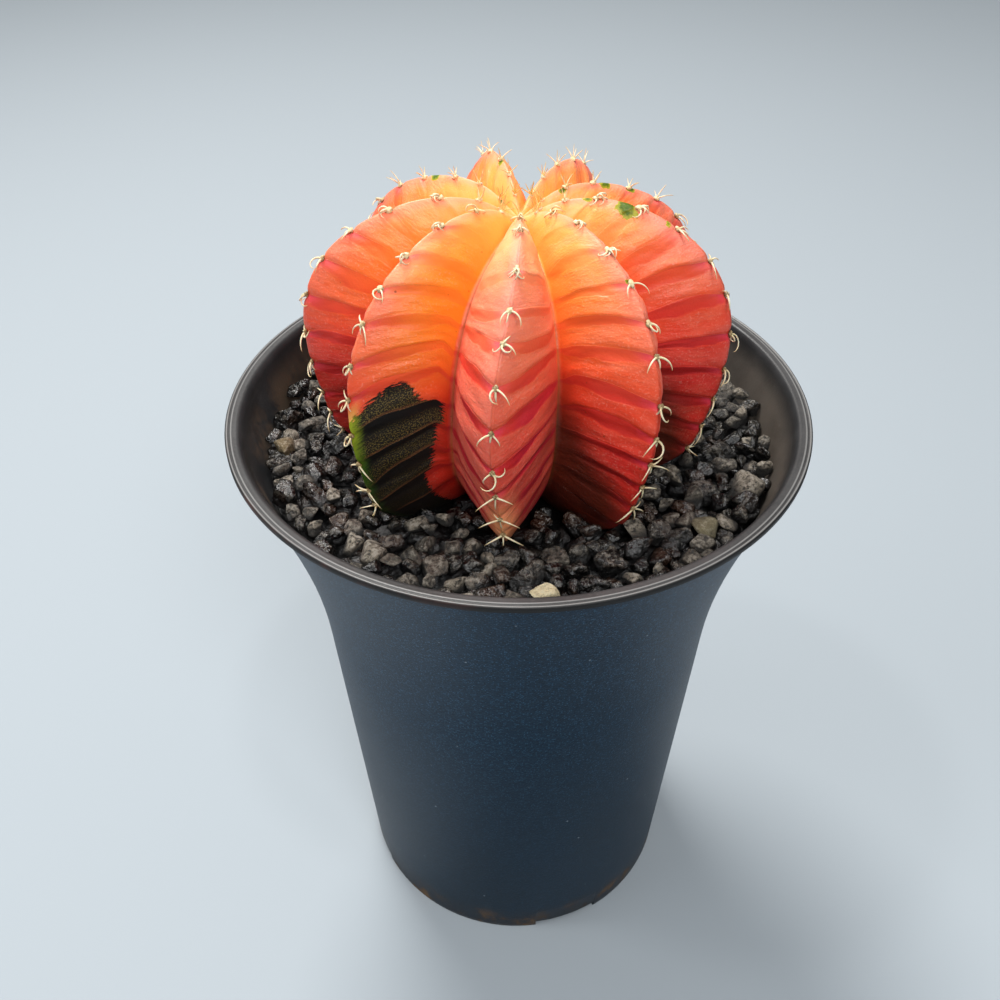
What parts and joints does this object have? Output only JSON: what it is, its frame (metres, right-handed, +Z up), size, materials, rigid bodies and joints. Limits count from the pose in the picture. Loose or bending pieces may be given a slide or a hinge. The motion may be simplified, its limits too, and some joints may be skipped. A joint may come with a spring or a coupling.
{
  "type": "potted cactus",
  "caption": "Ribbed round cactus with short curved spines, growing in dark grit in a deep round plastic pot with a flared rim.",
  "frame": {"origin": "centre of the pot's foot, on the surface that it stands on", "axes": "+Z up along the pot's axis, -Y towards the side that the picture shows"},
  "size_m": [0.085, 0.085, 0.1387],
  "materials": {
    "pot_plastic": "satin slate-blue plastic with a fine grain",
    "soil": "dark crumbly potting mix",
    "grit": "rough black lava stones, some wet",
    "cactus_skin": "waxy skin, apricot crown to orange-red sides, one dark green patch",
    "cream_stone": "rough cream stone",
    "tan_stone": "rough olive-tan stone"
  },
  "bodies": {
    "root": {"pot": "pot_plastic", "potting_mix": "soil", "lava_grit": "grit", "cactus": "cactus_skin", "cream_pebble": "cream_stone", "tan_pebble_right": "tan_stone", "tan_pebble_left": "tan_stone"}
  },
  "joints": []
}
